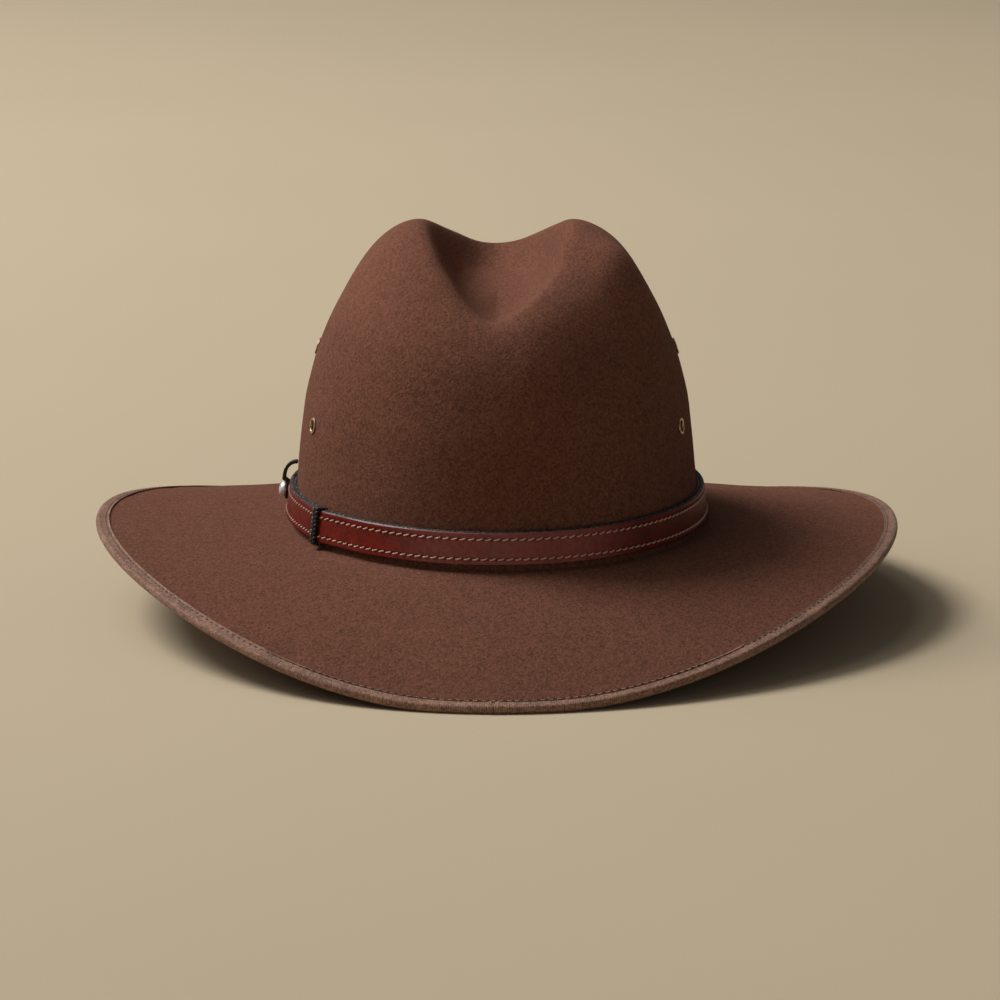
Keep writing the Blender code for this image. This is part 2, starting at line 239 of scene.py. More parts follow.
in_holes = np.zeros(len(felt.data.vertices), dtype=bool)
for place in EYELET_PLACES.values():
    in_holes |= near_axis(points_of(felt), place, FELT_HOLE + 0.15 * MM, 3.0 * FELT_WALL)
pick(felt, "VERT", in_holes)
bpy.ops.mesh.delete(type="VERT")
bpy.ops.mesh.select_all(action="SELECT")
bpy.ops.mesh.fill_holes(sides=0)
done()
pick(felt, "FACE", [len(face.vertices) > 4 for face in felt.data.polygons])
bpy.ops.mesh.poke()
done()
print("holes closed, faces:", len(felt.data.polygons))

# %% Put the new corners back on the surface
centres = points_of(felt)
for place in EYELET_PLACES.values():
    axis = np.array(place.col[2][:3])
    outer_skin = np.array(place.translation) + axis * FELT_WALL / 2.0
    found = near_axis(centres, place, FELT_HOLE, 3.0 * FELT_WALL)
    for index in np.flatnonzero(found):
        along = float((centres[index] - np.array(place.translation)) @ axis)
        depth = 0.0 if along > 0.0 else FELT_WALL
        centres[index] += axis * ((outer_skin - centres[index]) @ axis - depth)
move_points(felt, centres)

# %% [markdown]
# Smoothing rounds every fold by the same amount. Two folds of the dent are tighter than the
# rest: its rim at the back left and the foot of its front wall. Their edges get a crease,
# which is quicker than more loops of faces and keeps the cage coarse.

# %% Keep two folds of the crown crisp
RIM_CREASE = 0.75
RIM_OVAL = (32.7 * MM, 66.8 * MM, -2.0 * MM)
FLOOR_CREASE = 0.45
FLOOR_OVAL = (16.2 * MM, 45.9 * MM, -1.0 * MM)
DENT_LOW = 120.0 * MM


def on_oval(points, width, length, shift):
    """Which points of the crown's top stand over an oval of these half sizes."""
    size = np.hypot(points[:, 0] / width, (points[:, 1] - shift) / length)
    return (np.abs(size - 1.0) < 0.02) & (points[:, 2] > DENT_LOW)


spots = points_of(felt)
rim = on_oval(spots, *RIM_OVAL)
rim &= (spots[:, 0] < -3.0 * MM) & (spots[:, 1] < -8.0 * MM)
floor_edge = on_oval(spots, *FLOOR_OVAL) & (spots[:, 1] > 15.0 * MM)
pairs = np.array([edge.vertices[:] for edge in felt.data.edges])
crease = felt.data.attributes.new("crease_edge", "FLOAT", "EDGE")
crease.data.foreach_set("value", (
    rim[pairs].all(axis=1) * RIM_CREASE
    + floor_edge[pairs].all(axis=1) * FLOOR_CREASE).astype(np.float32))
print("creased edges:", int(rim[pairs].all(axis=1).sum()), "and",
      int(floor_edge[pairs].all(axis=1).sum()))

# %% [markdown]
# The two sides of the crown aren't alike, and where they meet at the back the plain solid has
# a faint fold along the middle. A smoothing that fades out to both sides takes it away.

# %% Ease the fold where the two halves of the dent meet
EASE_WIDTH = 14.0 * MM
EASE_RUN = 25.0 * MM
EASE_LOW = 85.0 * MM
EASE_RISE = 15.0 * MM

smooth_through(felt, 2)
felt.data.attributes.remove(felt.data.attributes["crease_edge"])
spots = points_of(felt)
ease = np.clip(1.0 - np.abs(spots[:, 0]) / EASE_WIDTH, 0.0, 1.0)
ease *= np.clip(-spots[:, 1] / EASE_RUN, 0.0, 1.0)
ease *= np.clip((spots[:, 2] - EASE_LOW) / EASE_RISE, 0.0, 1.0)
group = felt.vertex_groups.new(name="middle_line")
for index in np.flatnonzero(ease):
    group.add([int(index)], float(ease[index]), "REPLACE")
finish_with(felt, "SMOOTH", vertex_group="middle_line", factor=0.5, iterations=60)
felt.vertex_groups.clear()

# %% [markdown]
# Felt is never perfectly even: steam, wear and handling leave shallow waves. A soft noise
# moves the surface by a fraction of a millimetre, which a viewer reads as a worn hat.

# %% Give the felt shallow waves
waves = bpy.data.textures.new("Handling waves", "CLOUDS")
waves.noise_scale = 28.0 * MM
waves.noise_depth = 1
finish_with(felt, "DISPLACE", texture=waves, texture_coords="LOCAL", strength=0.7 * MM,
            mid_level=0.5)
print("felt:", len(felt.data.polygons), "faces")

# %% Punch the six holes
punches = []
for place in EYELET_PLACES.values():
    bpy.ops.mesh.primitive_cylinder_add(vertices=32, radius=FELT_HOLE, depth=6.0 * FELT_WALL)
    punch = bpy.context.object
    punch.data.transform(place)
    punches.append(punch)
punch = join(punches)
finish_with(felt, "BOOLEAN", operation="DIFFERENCE", solver="EXACT", object=punch)
bpy.data.objects.remove(punch)
print("felt with holes:", len(felt.data.polygons), "faces")

# %% [markdown]
# ## The ribbon round the brim
# A ribbed ribbon is folded over the cut edge of the brim and sewn down. Its two ends meet
# at the back, a little left of the middle, and pucker where they are drawn together.

# %% Smooth the folded ribbon
RIBBON_SEAM_X = -1.0 * MM

ribbon = copy_of("brim_binding", "edge_ribbon")
smooth_through(ribbon, 2)


def slice_at(piece, place, normal, chosen=None):
    """Cuts a piece's faces along a plane, without removing anything."""
    flags = np.ones(len(piece.data.polygons), dtype=bool) if chosen is None else chosen
    pick(piece, "FACE", flags)
    bpy.ops.mesh.bisect(plane_co=place, plane_no=normal, use_fill=False)
    done()


# %% Draw the ends of the ribbon together
SEAM_PROFILE = {-2.9: 0.0, -1.6: 0.30, -0.5: 0.10, 0.0: -0.55, 0.5: 0.14, 1.4: 0.34, 2.8: 0.0}
SEAM_ZONE = -150.0 * MM
RESTS_UNDER = 0.3 * MM

for step in SEAM_PROFILE:
    place = (RIBBON_SEAM_X + step * MM, 0.0, 0.0)
    at_back = rows_of(ribbon.data.polygons, "center")[:, 1] < SEAM_ZONE
    slice_at(ribbon, place, (1.0, 0.0, 0.0), at_back)
for step, rise in SEAM_PROFILE.items():
    spots = points_of(ribbon)
    here = np.abs(spots[:, 0] - RIBBON_SEAM_X - step * MM) < 0.005 * MM
    low = spots[:, 2] < RESTS_UNDER
    pick(ribbon, "VERT", here & (spots[:, 1] < SEAM_ZONE) & ~low)
    bpy.ops.transform.shrink_fatten(value=rise * MM)
    done()
settled = points_of(ribbon)
settled[:, 2] = np.maximum(settled[:, 2], 0.0)
move_points(ribbon, settled)
print("ribbon:", len(ribbon.data.polygons), "faces")

# %% [markdown]
# ## Measuring along the edge
# The ribs of the ribbon and its stitches follow the edge of the brim, so they need a length
# measured along that edge. The edge is sampled at even turns, its small corners are smoothed
# away by keeping only slow waves, and its length is added up.

# %% Sample a line round the hat
TURNS = 720
BACK_EDGE = -188.0 * MM
SEAM_TURN = math.atan2(BACK_EDGE, RIBBON_SEAM_X)
EDGE_STRIP = 4.0 * MM
KEPT_WAVES = 24


def running_length(line):
    """The length along a closed line up to each of its points, and its whole length."""
    steps = np.linalg.norm(np.roll(line, -1, axis=0) - line, axis=1)
    return np.concatenate([[0.0], np.cumsum(steps)])


def even_spots(line, count):
    """Points at even steps along a closed line."""
    length = running_length(line)
    closed = np.vstack([line, line[:1]])
    at = np.arange(count) / count * length[-1]
    return np.stack([np.interp(at, length, closed[:, axis]) for axis in range(3)], axis=1)


def turn_of(points):
    """The turn of each point about the hat's middle, from the back seam, in radians."""
    return (np.arctan2(points[:, 1], points[:, 0]) - SEAM_TURN) % (2.0 * math.pi)


ribbon_points = points_of(ribbon)
EDGE_LINE = []
for step in range(TURNS):
    turn = SEAM_TURN + 2.0 * math.pi * (step + 0.5) / TURNS
    side = np.array((math.cos(turn), math.sin(turn)))
    ahead = ribbon_points[:, :2] @ side
    beside = np.abs(ribbon_points[:, :2] @ np.array((-side[1], side[0])))
    near = (ahead > 0.0) & (beside < EDGE_STRIP)
    best = ribbon_points[near][np.argmax(ahead[near])]
    EDGE_LINE.append((side[0] * ahead[near].max(), side[1] * ahead[near].max(), best[2]))
slow_waves = np.fft.rfft(np.array(EDGE_LINE), axis=0)
slow_waves[KEPT_WAVES:] = 0.0
EDGE_LINE = np.fft.irfft(slow_waves, TURNS, axis=0)
EDGE_LENGTH = running_length(EDGE_LINE)[-1]
print("length of the brim's edge, mm:", round(EDGE_LENGTH * 1000.0, 1))

# %% [markdown]
# The thread pulls the ribbon's upper half down to the felt. Only two of its faces move: the
# outer one, and the hidden one that looks down at the felt. A short ray tells them apart from
# the lower half, because it meets the felt.

# %% Press the ribbon's sewn edge down to the felt
PRESS_START = 1.2 * MM
PRESS_END = 4.2 * MM
PRESS = 0.84 * MM
PRESS_UNDER = 0.26 * MM
UPRIGHT = 0.3
RAY_START = 0.05 * MM
RAY_REACH = 3.0 * MM

edge_tree = KDTree(4 * TURNS)
for index, spot in enumerate(even_spots(EDGE_LINE, 4 * TURNS)):
    edge_tree.insert(spot, index)
edge_tree.balance()
pressed = points_of(ribbon)
for index, normal in enumerate(rows_of(ribbon.data.vertices, "normal")):
    if abs(normal[2]) < UPRIGHT:
        continue
    spot, way = Vector(pressed[index]), Vector(normal)
    hidden = felt.ray_cast(spot + way * RAY_START, way, distance=RAY_REACH)[0]
    if hidden == (normal[2] > 0.0):
        continue
    inset = edge_tree.find(spot)[2]
    share = min(max((inset - PRESS_START) / (PRESS_END - PRESS_START), 0.0), 1.0)
    share *= share * (3.0 - 2.0 * share)
    pressed[index] += np.array(way) * share * (PRESS_UNDER if hidden else -PRESS)
move_points(ribbon, pressed)

# %% Lay a measuring map on the ribbon
def lay_map(piece, name, along):
    """A UV map whose first value is the length along the piece, in metres."""
    layer = piece.data.uv_layers.new(name=name)
    corners = np.empty(len(piece.data.loops), dtype=int)
    piece.data.loops.foreach_get("vertex_index", corners)
    values = np.zeros((len(corners), 2))
    values[:, 0] = along[corners]
    values[:, 1] = points_of(piece)[corners, 2]
    starts = np.repeat(
        [face.loop_start for face in piece.data.polygons],
        [face.loop_total for face in piece.data.polygons])
    middles = values[:, 0].copy()
    first = middles[starts]
    whole = along.max()
    values[:, 0] += np.where(first - middles > whole / 2.0, whole, 0.0)
    values[:, 0] -= np.where(middles - first > whole / 2.0, whole, 0.0)
    layer.data.foreach_set("uv", values.ravel())


lay_map(ribbon, "along_edge", turn_of(points_of(ribbon)) / (2.0 * math.pi) * EDGE_LENGTH)

# %% [markdown]
# ## The strap round the crown
# The hat band is a burgundy leather strap of two layers, sewn together along both edges.
# The thread pulls the leather into a shallow channel, and the layers show as a fine slit
# on top. Sharp edges of the plain solid are kept sharp while the strap is made rounder.

# %% Close the stud's hole in the strap
STRAP_HEIGHT = 13.0 * MM
STRAP = 2.8 * MM
CROWN_HALF_WIDTH = 85.0 * MM
CROWN_HALF_LENGTH = 102.0 * MM
STUD_HOLE = 1.6 * MM


def outward(turn):
    """The level direction out of the crown's oval at a turn."""
    return Vector((math.cos(turn) / CROWN_HALF_WIDTH, math.sin(turn) / CROWN_HALF_LENGTH,
                   0.0)).normalized()


strap = copy_of("hat_band", "hat_strap")
stud_low, stud_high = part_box("stud")
stud_middle = (np.array(stud_low) + np.array(stud_high)) / 2.0
in_hole = np.linalg.norm((points_of(strap) - stud_middle)[:, 1:], axis=1) < STUD_HOLE
pick(strap, "VERT", in_hole & (points_of(strap)[:, 0] < 0.0))
bpy.ops.mesh.delete(type="VERT")
bpy.ops.mesh.select_all(action="SELECT")
bpy.ops.mesh.fill_holes(sides=0)
done()

# %% Open the slit between the two layers
SLIT_IN = 1.0 * MM
SLIT_SLOPE = 0.03 * MM
SLIT_DEPTH = 0.8 * MM

for side in (1.0, -1.0):
    pick(strap, "FACE", rows_of(strap.data.polygons, "normal")[:, 2] * side > 0.95)
    bpy.ops.mesh.inset(thickness=SLIT_IN, depth=0.0)
    bpy.ops.mesh.inset(thickness=SLIT_SLOPE, depth=-SLIT_DEPTH)
    done()

# %% Round the strap between its crisp edges
ends = points_of(strap)[np.array([edge.vertices[:] for edge in strap.data.edges])]
middles = ends.mean(axis=1)
runs = ends[:, 1] - ends[:, 0]
runs /= np.linalg.norm(runs, axis=1)[:, None]
level = np.stack([-middles[:, 1] / CROWN_HALF_LENGTH ** 2,
                  middles[:, 0] / CROWN_HALF_WIDTH ** 2], axis=1)
level /= np.linalg.norm(level, axis=1)[:, None]
round_the_hat = np.abs((runs[:, :2] * level).sum(axis=1)) > 0.85
crease = strap.data.attributes.new("crease_edge", "FLOAT", "EDGE")
crease.data.foreach_set("value", round_the_hat.astype(np.float32))
smooth_through(strap, 2)
strap.data.attributes.remove(strap.data.attributes["crease_edge"])
print("strap:", len(strap.data.polygons), "faces")

# %% Draw the sewn channels into the strap's face
STRAP_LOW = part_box("hat_band")[0].z
STRAP_TOP = STRAP_LOW + STRAP_HEIGHT
UPPER_ROW = STRAP_TOP - 2.8 * MM
LOWER_ROW = STRAP_LOW + 2.4 * MM
CHANNEL = 0.55 * MM
CHANNEL_DEPTH = 0.28 * MM


def facing_out(piece):
    """Which vertices point away from the hat's middle."""
    normals = rows_of(piece.data.vertices, "normal")
    return (normals[:, :2] * points_of(piece)[:, :2]).sum(axis=1) > 0.0


for height in (UPPER_ROW, LOWER_ROW):
    for step in (-CHANNEL, 0.0, CHANNEL):
        slice_at(strap, (0.0, 0.0, height + step), (0.0, 0.0, 1.0))
    on_row = np.abs(points_of(strap)[:, 2] - height) < 0.002 * MM
    pick(strap, "VERT", on_row & facing_out(strap))
    bpy.ops.transform.shrink_fatten(value=-CHANNEL_DEPTH)
    done()

# %% Soften the strap's edges
finish_with(strap, "BEVEL", width=0.14 * MM, segments=2, limit_method="ANGLE",
            angle_limit=math.radians(32.0))
print("strap with channels:", len(strap.data.polygons), "faces")

# %% [markdown]
# ## Stitches
# A stitch is a short length of thread that comes out of one hole and goes into the next.
# One is modelled as a small bowed bar with its ends bent down, and copies of it are laid
# along a seam. The places come from casting rays at the finished surface.

# %% Model one stitch
def one_stitch(length, thick, rise):
    """A bowed bar of thread along X, its ends below the surface at Z = 0."""
    bpy.ops.mesh.primitive_cylinder_add(
        vertices=6, radius=thick / 2.0, depth=length, rotation=(0.0, math.pi / 2.0, 0.0))
    stitch = work_on(bpy.context.object)
    bpy.ops.object.transform_apply(rotation=True)
    bpy.ops.object.mode_set(mode="EDIT")
    for share in (-0.36, -0.14, 0.14, 0.36):
        bpy.ops.mesh.select_all(action="SELECT")
        bpy.ops.mesh.bisect(plane_co=(share * length, 0.0, 0.0), plane_no=(1.0, 0.0, 0.0))
    done()
    points = points_of(stitch)
    share = np.abs(points[:, 0]) / (length / 2.0)
    points[:, 1:] *= np.where(share > 0.9, 0.72, np.where(share > 0.5, 0.95, 1.0))[:, None]
    points[:, 2] += rise * (1.0 - 1.9 * share ** 2.4)
    move_points(stitch, points)
    return stitch


def lay_along(name, stitch, frames):
    """One mesh that holds a copy of the stitch at every frame."""
    points = points_of(stitch)
    faces = [np.array(face.vertices[:]) for face in stitch.data.polygons]
    all_points, all_faces = [], []
    for index, (spot, along, beside, out) in enumerate(frames):
        turn = np.stack([along, beside, out])
        all_points.append(points @ turn + spot)
        all_faces += [tuple(face + index * len(points)) for face in faces]
    mesh = bpy.data.meshes.new(name)
    mesh.from_pydata(np.concatenate(all_points).tolist(), [], all_faces)
    piece = bpy.data.objects.new(name, mesh)
    bpy.context.collection.objects.link(piece)
    bpy.data.objects.remove(stitch)
    print(name, "has", len(frames), "stitches")
    return piece


def seam_frames(line, normals, slant):
    """At each spot of a seam: the spot, the way along it, across it and out of the surface."""
    frames = []
    ahead = np.roll(line, -1, axis=0) - np.roll(line, 1, axis=0)
    for spot, along, out in zip(line, ahead, normals):
        along, out = Vector(along).normalized(), Vector(out)
        out = (out - along * out.dot(along)).normalized()
        along = Matrix.Rotation(slant, 3, out) @ along
        frames.append((spot, np.array(along), np.array(out.cross(along)), np.array(out)))
    return frames


# %% Sew the strap
STRAP_STITCH_PITCH = 3.4 * MM
BEYOND_HAT = 300.0 * MM


def cast_round(piece, height, turns):
    """Where level rays from outside meet the piece, and its normal there."""
    spots, normals = [], []
    for turn in turns:
        way = Vector((math.cos(turn), math.sin(turn), 0.0))
        start = way * BEYOND_HAT + Vector((0.0, 0.0, height))
        hit, spot, normal, _ = piece.ray_cast(start, -way)
        if hit:
            spots.append(spot[:])
            normals.append(normal[:])
    return np.array(spots), np.array(normals)


def even_turns(line, count):
    spots = even_spots(line, count)
    return np.arctan2(spots[:, 1], spots[:, 0])


round_turns = np.arange(TURNS) / TURNS * 2.0 * math.pi
strap_seams = []
for name, height, slant in (("upper", UPPER_ROW, 0.30), ("lower", LOWER_ROW, 0.26)):
    line, _ = cast_round(strap, height, round_turns)
    count = round(running_length(line)[-1] / STRAP_STITCH_PITCH)
    spots, normals = cast_round(strap, height, even_turns(line, count))
    stitch = one_stitch(3.1 * MM, 0.70 * MM, 0.30 * MM)
    strap_seams.append(lay_along(
        f"strap_stitches_{name}", stitch, seam_frames(spots, normals, slant)))

# %% Sew the ribbon to the brim
RIBBON_STITCH_PITCH = 3.3 * MM
RIBBON_STITCH_INSET = 4.1 * MM
ABOVE_BRIM = 200.0 * MM

count = round(EDGE_LENGTH / RIBBON_STITCH_PITCH)
edge_spots = even_spots(EDGE_LINE, count)
ahead = np.roll(edge_spots, -1, axis=0) - np.roll(edge_spots, 1, axis=0)
inward = np.stack([-ahead[:, 1], ahead[:, 0]], axis=1)
inward /= np.linalg.norm(inward, axis=1)[:, None]
ribbon_spots, ribbon_normals = [], []
for spot, way in zip(edge_spots, inward):
    start = Vector((*(spot[:2] + way * RIBBON_STITCH_INSET), ABOVE_BRIM))
    hit, place, normal, _ = ribbon.ray_cast(start, Vector((0.0, 0.0, -1.0)))
    if hit:
        ribbon_spots.append(place[:])
        ribbon_normals.append(normal[:])
ribbon_stitches = lay_along(
    "ribbon_stitches", one_stitch(1.7 * MM, 0.42 * MM, 0.10 * MM),
    seam_frames(np.array(ribbon_spots), np.array(ribbon_normals), 0.0))

# %% [markdown]
# ## Turned metal
# The stud's cap and the eyelets are round, so each is one profile spun about an axis. Spin
# leaves a seam and may turn the surface inside out, so doubles are merged and the normals
# are worked out again.

# %% Spin a profile
def turned(name, profile, steps, closed):
    """A profile of (radius, height) points spun about Z."""
    count = len(profile)
    mesh = bpy.data.meshes.new(name)
    edges = [(i, i + 1) for i in range(count - 1)] + ([(count - 1, 0)] if closed else [])
    mesh.from_pydata([(radius, 0.0, height) for radius, height in profile], edges, [])
    piece = bpy.data.objects.new(name, mesh)
    bpy.context.collection.objects.link(piece)
    pick(piece, "VERT", [True] * count)
    bpy.ops.mesh.spin(steps=steps, angle=2.0 * math.pi, center=(0.0, 0.0, 0.0),
                      axis=(0.0, 0.0, 1.0), use_auto_merge=True)
    bpy.ops.mesh.select_all(action="SELECT")
    bpy.ops.mesh.remove_doubles(threshold=0.002 * MM)
    bpy.ops.mesh.normals_make_consistent(inside=False)
    done()
    return piece


def arc(centre, radius, start, end, steps):
    """Points of an arc, angles in degrees."""
    turns = [math.radians(start + (end - start) * step / steps) for step in range(steps + 1)]
    return [(centre[0] + radius * math.cos(turn), centre[1] + radius * math.sin(turn))
            for turn in turns]


# %% Make the eyelets
HOLE = 2.2 * MM
FLANGE = 3.5 * MM
FLANGE_TOP = 1.8 * MM
BARREL = 2.8 * MM
ROLL = 0.36 * MM

ring_profile = (
    arc((FLANGE - ROLL, FLANGE_TOP - ROLL), ROLL, -70.0, 90.0, 6)
    + arc((HOLE + ROLL * 1.5, FLANGE_TOP - ROLL * 1.5), ROLL * 1.5, 90.0, 180.0, 5)
    + [(HOLE, 0.0)]
    + arc((HOLE + ROLL * 1.5, ROLL * 1.5 - FLANGE_TOP), ROLL * 1.5, 180.0, 270.0, 5)
    + arc((FLANGE - ROLL, ROLL - FLANGE_TOP), ROLL, -90.0, 70.0, 6)
    + [(BARREL, 2.0 * ROLL - FLANGE_TOP), (BARREL, FLANGE_TOP - 2.0 * ROLL)])
eyelets = []
for node, place in EYELET_PLACES.items():
    eyelet = turned(node.replace("eyelet", "vent"), ring_profile, 40, True)
    eyelet.data.transform(place)
    eyelets.append((eyelet, node))

# %% [markdown]
# ## The stud and its little strap
# A domed metal stud holds a narrow dark strap to the band, on the left of the hat. The strap
# arches over the band's top edge and lies against the crown.

# %% Find the band's face under the stud
STUD_TURN = math.radians(174.5)
middle_height = STRAP_LOW + STRAP_HEIGHT / 2.0


def face_frame(at_turn, height):
    """On the band's face at a turn of the oval: +X along the band, +Y up it, +Z out of it."""
    way = outward(at_turn)
    inside = Vector((CROWN_HALF_WIDTH * math.cos(at_turn),
                     CROWN_HALF_LENGTH * math.sin(at_turn), height))
    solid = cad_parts["hat_band"]
    spots = []
    for step in (-3.0 * MM, 3.0 * MM):
        start = inside + way * 0.05 + Vector((0.0, 0.0, step))
        _, spot, _, _ = solid.ray_cast(start, -way)
        spots.append(spot)
    up = (spots[1] - spots[0]).normalized()
    side = up.cross(way).normalized()
    out = side.cross(up).normalized()
    turn = Matrix((side, up, out)).transposed().to_4x4()
    return Matrix.Translation((spots[0] + spots[1]) / 2.0) @ turn


# %% Turn the stud's cap
STUD = 3.35 * MM
STUD_SEAT = 2.0 * MM
STUD_RIM = 0.6 * MM
STUD_DOME = 2.2 * MM

dome = [(STUD * math.cos(math.radians(turn)),
         STUD_SEAT + STUD_RIM + STUD_DOME * math.sin(math.radians(turn)))
        for turn in range(0, 90, 9)]
stud_profile = (
    [(0.0, STUD_SEAT + STUD_RIM + STUD_DOME)] + dome[::-1]
    + [(STUD + 0.05 * MM, STUD_SEAT + STUD_RIM * 0.5), (STUD - 0.1 * MM, STUD_SEAT),
       (STUD - 0.5 * MM, STUD_SEAT), (1.0 * MM, STUD_SEAT + 0.1 * MM),
       (1.0 * MM, -1.4 * MM), (0.0, -1.4 * MM)])
stud = turned("stud_cap", stud_profile, 48, False)
stud.data.transform(face_frame(STUD_TURN, middle_height))

# %% Round the little strap
tab = copy_of("stud_tab", "stud_strap")
finish_with(tab, "BEVEL", width=0.3 * MM, segments=3, limit_method="ANGLE",
            angle_limit=math.radians(50.0))

# %% [markdown]
# ## The plaited loop
# A loop of three plaited black laces goes round the band at the rear left. Each lace swings
# from side to side and in and out, a third of a turn behind its neighbour, while it follows
# a flat loop round the strap.

# %% Plait the loop
LOOP_TURN = math.radians(215.0)
LOOP_GAP = 0.15 * MM
LACE = 0.60 * MM
SWING = 1.30 * MM
CROSSING = 0.34 * MM
PLAITS = 7
LACE_POINTS = 330

loop_frame = face_frame(LOOP_TURN, middle_height)
half_height = STRAP_HEIGHT / 2.0 + LOOP_GAP + LACE
front = LOOP_GAP + LACE + CROSSING
back = -STRAP - LOOP_GAP - 0.5 * MM
corner = 1.0 * MM
route = (
    arc((front - corner, half_height - corner), corner, 0.0, 90.0, 8)
    + arc((back + corner, half_height - corner), corner, 90.0, 180.0, 8)
    + arc((back + corner, corner - half_height), corner, 180.0, 270.0, 8)
    + arc((front - corner, corner - half_height), corner, 270.0, 360.0, 8))
route_line = np.array([(0.0, height, out) for out, height in route])
path = even_spots(route_line, LACE_POINTS)
path_ahead = np.roll(path, -1, axis=0) - np.roll(path, 1, axis=0)
path_ahead /= np.linalg.norm(path_ahead, axis=1)[:, None]
path_out = np.stack([np.zeros(LACE_POINTS), -path_ahead[:, 2], path_ahead[:, 1]], axis=1)
laces = []
for lace in range(3):
    phase = 2.0 * math.pi * (np.arange(LACE_POINTS) / LACE_POINTS * PLAITS + lace / 3.0)
    spots = path.copy()
    spots[:, 0] += SWING * np.sin(phase)
    flat_back = np.where(path[:, 2] < front - 0.6 * MM, 0.3, 1.0)
    spots += path_out * (CROSSING * np.sin(2.0 * phase) * flat_back)[:, None]
    curve = bpy.data.curves.new(f"lace_{lace}", "CURVE")
    curve.dimensions = "3D"
    curve.bevel_depth = LACE
    curve.bevel_resolution = 2
    line = curve.splines.new("POLY")
    line.points.add(LACE_POINTS - 1)
    line.points.foreach_set("co", np.hstack([spots, np.ones((LACE_POINTS, 1))]).ravel())
    line.use_cyclic_u = True
    strand = bpy.data.objects.new(f"lace_{lace}", curve)
    bpy.context.collection.objects.link(strand)
    laces.append(strand)
loop = join(laces)
loop.name = "plaited_loop"
loop.data.transform(loop_frame)
work_on(loop)
bpy.ops.object.mode_set(mode="EDIT")
bpy.ops.mesh.select_all(action="SELECT")
bpy.ops.mesh.normals_make_consistent(inside=False)
done()
print("loop:", len(loop.data.polygons), "faces")

# %% [markdown]
# ## Finishes
# A finish is a small network of nodes. One class wraps a socket so that a mask can be added
# or multiplied in a plain expression, and one method adds any other node.

# %% Shader maths
class Wire:
    """An output socket that works in Python expressions."""

    def __init__(self, finish, socket):
        self.finish = finish
        self.socket = socket

    def joined(self, operation, first, second):
        return self.finish.node("ShaderNodeMath", {"operation": operation}, [first, second])

    def __add__(self, other):
        return self.joined("ADD", self, other)

    def __radd__(self, other):
        return self.joined("ADD", other, self)

    def __sub__(self, other):
        return self.joined("SUBTRACT", self, other)

    def __rsub__(self, other):
        return self.joined("SUBTRACT", other, self)

    def __mul__(self, other):
        return self.joined("MULTIPLY", self, other)

    def __rmul__(self, other):
        return self.joined("MULTIPLY", other, self)


class Finish:
    """A material under construction."""

    def __init__(self, name):
        self.material = bpy.data.materials.new(name)
        self.material.use_nodes = True
        self.tree = self.material.node_tree
        self.shader = self.tree.nodes["Principled BSDF"]
        self.place = self.node("ShaderNodeTexCoord", out="Object")

    def set_input(self, node, key, value):
        socket = node.inputs[key]
        if isinstance(value, Wire):
            self.tree.links.new(value.socket, socket)
        else:
            socket.default_value = value

    def node(self, kind, settings=None, values=(), out=0, **named):
        """Adds a node: its settings first, then its sockets by order or by name."""
        made = self.tree.nodes.new(kind)
        for key, value in (settings or {}).items():
            setattr(made, key, value)
        pairs = values.items() if isinstance(values, dict) else enumerate(values)
        for key, value in list(pairs) + list(named.items()):
            self.set_input(made, key, value)
        return Wire(self, made.outputs[out])

    def noise(self, size, detail=2.0, roughness=0.5, place=None):
        """Noise from 0 to 1 whose marks are about the given size in metres."""
        return self.node("ShaderNodeTexNoise", None, {
            "Vector": place or self.place, "Scale": 1.0 / size, "Detail": detail,
            "Roughness": roughness})

    def cells(self, size):
        """Soft round pebbles."""
        return self.node("ShaderNodeTexVoronoi", {"feature": "SMOOTH_F1"}, {
            "Vector": self.place, "Scale": 1.0 / size})

    def grains(self, size):
        """Small cells, each with its own random colour, which the product makes one value."""
        return self.node("ShaderNodeTexVoronoi", None, {
            "Vector": self.place, "Scale": 1.0 / size}, out=1) * 1.0

    def mask(self, value, low, high, start=0.0, end=1.0):
        """Turns a value into a soft step from start at low to end at high."""
        return self.node(
            "ShaderNodeMapRange", {"interpolation_type": "SMOOTHSTEP"},
            [value, low, high, start, end])

    def mix(self, share, first, second):
        """A colour between two colours."""
        return self.node(
            "ShaderNodeMix", {"data_type": "RGBA"}, {0: share, 6: first, 7: second}, out=2)

    def along(self, axis, vector=None):
        """One part of a vector: 0, 1 or 2 for x, y or z."""
        return self.node("ShaderNodeSeparateXYZ", None, [vector or self.place], out=axis)

    def size_of(self, value):
        """The value without its sign."""
        return self.node("ShaderNodeMath", {"operation": "ABSOLUTE"}, [value])

    def stretched(self, scale):
        return self.node("ShaderNodeVectorMath", {"operation": "MULTIPLY"},
                         [self.place, scale])

    def bump(self, height, depth):
        return self.node("ShaderNodeBump", None, {
            "Strength": 1.0, "Distance": depth, "Height": height})

    def wear(self, **inputs):
        """Sets the shader's own sockets; underscores stand for spaces."""
        for key, value in inputs.items():
            self.set_input(self.shader, key.replace("_", " "), value)
        return self.material


def paint(piece, material):
    piece.data.materials.clear()
    piece.data.materials.append(material)


# %% [markdown]
# ## Brown felt
# Felt has no weave. Its short fibres lie in all directions, catch light as small specks and
# give the outline a soft glow. The speck is about a millimetre wide, wider patches come from
# wear and uneven dye, and the top of the crown is painted lighter, as painted light for its
# backlit nap.

# %% Felt finish
TOP_LIGHT_START = 112.0 * MM
TOP_LIGHT_END = 136.0 * MM

